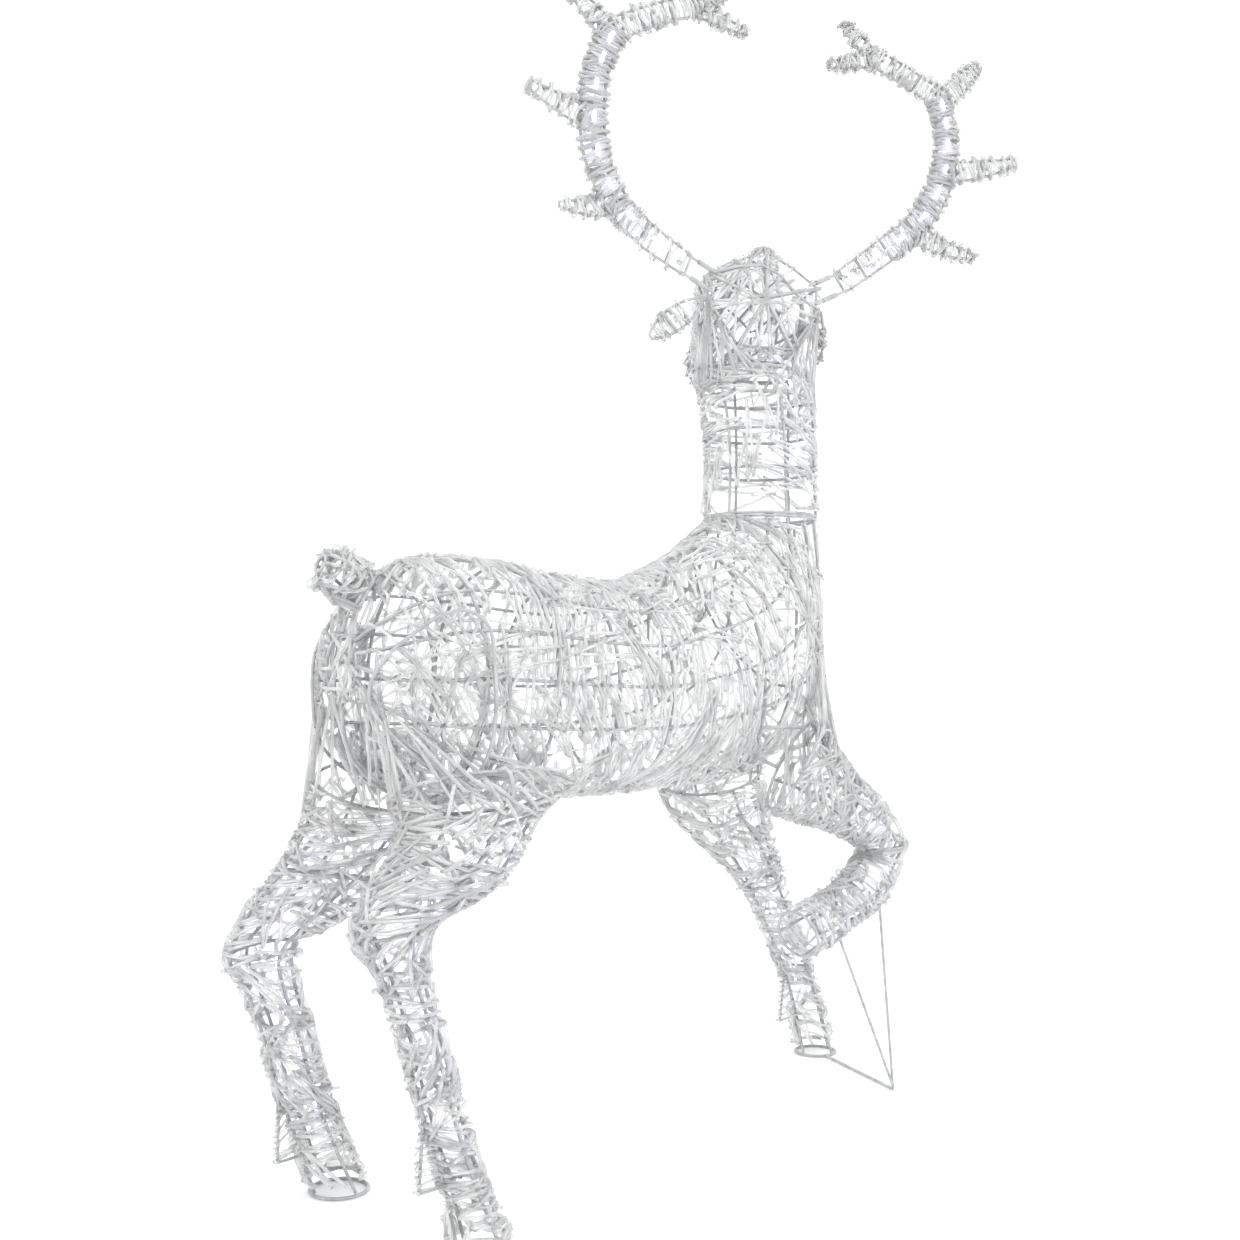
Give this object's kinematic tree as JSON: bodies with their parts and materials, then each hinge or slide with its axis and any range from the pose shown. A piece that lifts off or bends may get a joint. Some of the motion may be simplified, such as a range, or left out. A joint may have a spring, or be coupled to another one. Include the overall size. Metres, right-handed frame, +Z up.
{
  "type": "light up yard reindeer",
  "caption": "Standing light-up stag for the yard: white wire frames wound with clear thread, one foreleg raised on a wire stay, turned head and plug-in antlers.",
  "frame": {"origin": "on the ground, under the middle of the whole figure", "axes": "+X the way the body faces, +Y the animal's left, +Z up"},
  "size_m": [1.0528, 0.4209, 1.4861],
  "materials": {
    "white_steel": "white gloss coating on round steel wire",
    "clear_thread": "clear to milky acrylic thread, glossy",
    "lamp": "cool white light-emitting diode in a clear holder",
    "lead": "thin white insulated wire"
  },
  "bodies": {
    "body": {"body_rails": "white_steel", "body_hoops": "white_steel", "body_winding": "clear_thread", "collar_ring": "white_steel", "collar_guides": "white_steel", "tail_frame": "white_steel", "tail_winding": "clear_thread", "haunch_loop_left": "white_steel", "haunch_loop_right": "white_steel", "hind_leg_left_frame": "white_steel", "hind_leg_left_winding": "clear_thread", "hind_leg_right_frame": "white_steel", "hind_leg_right_winding": "clear_thread", "front_leg_left_frame": "white_steel", "front_leg_left_winding": "clear_thread", "front_leg_right_frame": "white_steel", "front_leg_right_winding": "clear_thread", "hoof_ring_hind_left": "white_steel", "hoof_ring_hind_right": "white_steel", "hoof_ring_front_left": "white_steel", "hoof_ring_front_right": "white_steel", "leg_clips": "white_steel", "support_stay": "white_steel", "stay_foot": "white_steel", "lights_body": "lamp", "light_lead_body": "lead", "lights_legs": "lamp", "light_lead_legs": "lead", "power_inlet": "lead"},
    "head": {"neck_ring": "white_steel", "neck_rails": "white_steel", "neck_hoops": "white_steel", "neck_winding": "clear_thread", "head_rails": "white_steel", "head_hoops": "white_steel", "head_winding": "clear_thread", "ear_left_frame": "white_steel", "ear_left_winding": "clear_thread", "ear_right_frame": "white_steel", "ear_right_winding": "clear_thread", "antler_sockets": "white_steel", "lights_head": "lamp", "light_lead_head": "lead"},
    "antler_left": {"antler_left_frame": "white_steel", "antler_left_winding": "clear_thread", "antler_left_prongs": "white_steel", "antler_left_lights": "lamp", "antler_left_lead": "lead"},
    "antler_right": {"antler_right_frame": "white_steel", "antler_right_winding": "clear_thread", "antler_right_prongs": "white_steel", "antler_right_lights": "lamp", "antler_right_lead": "lead"}
  },
  "joints": [
    {"name": "neck_turn", "type": "hinge", "parent": "body", "child": "head", "pos_m": [0.221, 0.017, 0.8], "axis": [0, 0, 1], "range_deg": [-133, 20]},
    {"name": "antler_left_pull", "type": "slide", "parent": "head", "child": "antler_left", "axis": [-0.8292, 0.3571, 0.4299], "range_m": [0, 0.05]},
    {"name": "antler_right_pull", "type": "slide", "parent": "head", "child": "antler_right", "axis": [0.8292, -0.3571, 0.4299], "range_m": [0, 0.05]}
  ]
}
